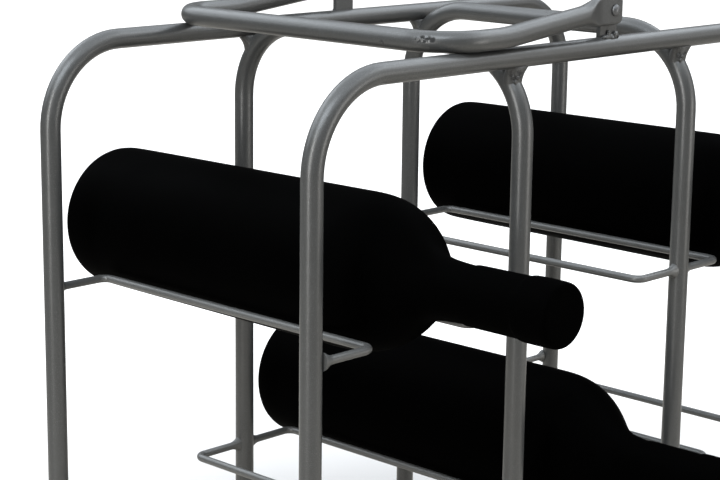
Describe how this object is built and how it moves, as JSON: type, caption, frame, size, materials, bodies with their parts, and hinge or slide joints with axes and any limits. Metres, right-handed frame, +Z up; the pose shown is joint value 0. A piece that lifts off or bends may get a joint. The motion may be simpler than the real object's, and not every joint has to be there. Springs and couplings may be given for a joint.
{
  "type": "wine rack with carrying handle",
  "caption": "Tubular steel wine rack with bent hoops, wire bottle rests, a folding bail handle on riveted tabs, and bottles lying in it.",
  "frame": {"origin": "on the floor, below the middle of the whole object with its bottles", "axes": "+X along the long hoops, -Y the side the bottle necks point to, +Z up"},
  "size_m": [0.4058, 0.304, 0.3254],
  "materials": {
    "front_hoop": "satin grey paint",
    "rear_hoop": "satin grey paint",
    "left_cross_hoop": "satin grey paint",
    "right_cross_hoop": "satin grey paint",
    "upper_rest_1": "satin grey paint",
    "upper_rest_2": "satin grey paint",
    "upper_rest_3": "satin grey paint",
    "upper_rest_4": "satin grey paint",
    "upper_rest_5": "satin grey paint",
    "upper_rest_6": "satin grey paint",
    "lower_rest_1": "satin grey paint",
    "lower_rest_2": "satin grey paint",
    "lower_rest_3": "satin grey paint",
    "lower_rest_4": "satin grey paint",
    "lower_rest_5": "satin grey paint",
    "lower_rest_6": "satin grey paint",
    "front_left_weld": "satin grey paint",
    "front_right_weld": "satin grey paint",
    "rear_left_weld": "satin grey paint",
    "rear_right_weld": "satin grey paint",
    "front_hinge_tab": "satin grey paint",
    "rear_hinge_tab": "satin grey paint",
    "front_rivet": "dull grey steel",
    "rear_rivet": "dull grey steel",
    "carry_handle": "satin grey paint",
    "bottle_left": "black bottle glass that shows no shine",
    "capsule_left": "black satin capsule",
    "bottle_middle": "black bottle glass that shows no shine",
    "capsule_middle": "black satin capsule",
    "bottle_right": "black bottle glass that shows no shine",
    "capsule_right": "black satin capsule"
  },
  "bodies": {
    "rack": {"front_hoop": "front_hoop", "rear_hoop": "rear_hoop", "left_cross_hoop": "left_cross_hoop", "right_cross_hoop": "right_cross_hoop", "upper_rest_1": "upper_rest_1", "upper_rest_2": "upper_rest_2", "upper_rest_3": "upper_rest_3", "upper_rest_4": "upper_rest_4", "upper_rest_5": "upper_rest_5", "upper_rest_6": "upper_rest_6", "lower_rest_1": "lower_rest_1", "lower_rest_2": "lower_rest_2", "lower_rest_3": "lower_rest_3", "lower_rest_4": "lower_rest_4", "lower_rest_5": "lower_rest_5", "lower_rest_6": "lower_rest_6", "front_left_weld": "front_left_weld", "front_right_weld": "front_right_weld", "rear_left_weld": "rear_left_weld", "rear_right_weld": "rear_right_weld", "front_hinge_tab": "front_hinge_tab", "rear_hinge_tab": "rear_hinge_tab", "front_rivet": "front_rivet", "rear_rivet": "rear_rivet"},
    "handle": {"carry_handle": "carry_handle"},
    "bottle_left": {"bottle_left": "bottle_left", "capsule_left": "capsule_left"},
    "bottle_middle": {"bottle_middle": "bottle_middle", "capsule_middle": "capsule_middle"},
    "bottle_right": {"bottle_right": "bottle_right", "capsule_right": "capsule_right"}
  },
  "joints": [
    {"name": "handle_pivot", "type": "hinge", "parent": "rack", "child": "handle", "pos_m": [0.003, 0.0295, 0.318], "axis": [0, 1, 0], "range_deg": [0, 187]},
    {"name": "left_bottle_slide", "type": "slide", "parent": "rack", "child": "bottle_left", "axis": [0, -1, 0], "range_m": [0, 0.09]},
    {"name": "middle_bottle_slide", "type": "slide", "parent": "rack", "child": "bottle_middle", "axis": [0, -1, 0], "range_m": [0, 0.09]},
    {"name": "right_bottle_slide", "type": "slide", "parent": "rack", "child": "bottle_right", "axis": [0, -1, 0], "range_m": [0, 0.09]}
  ]
}
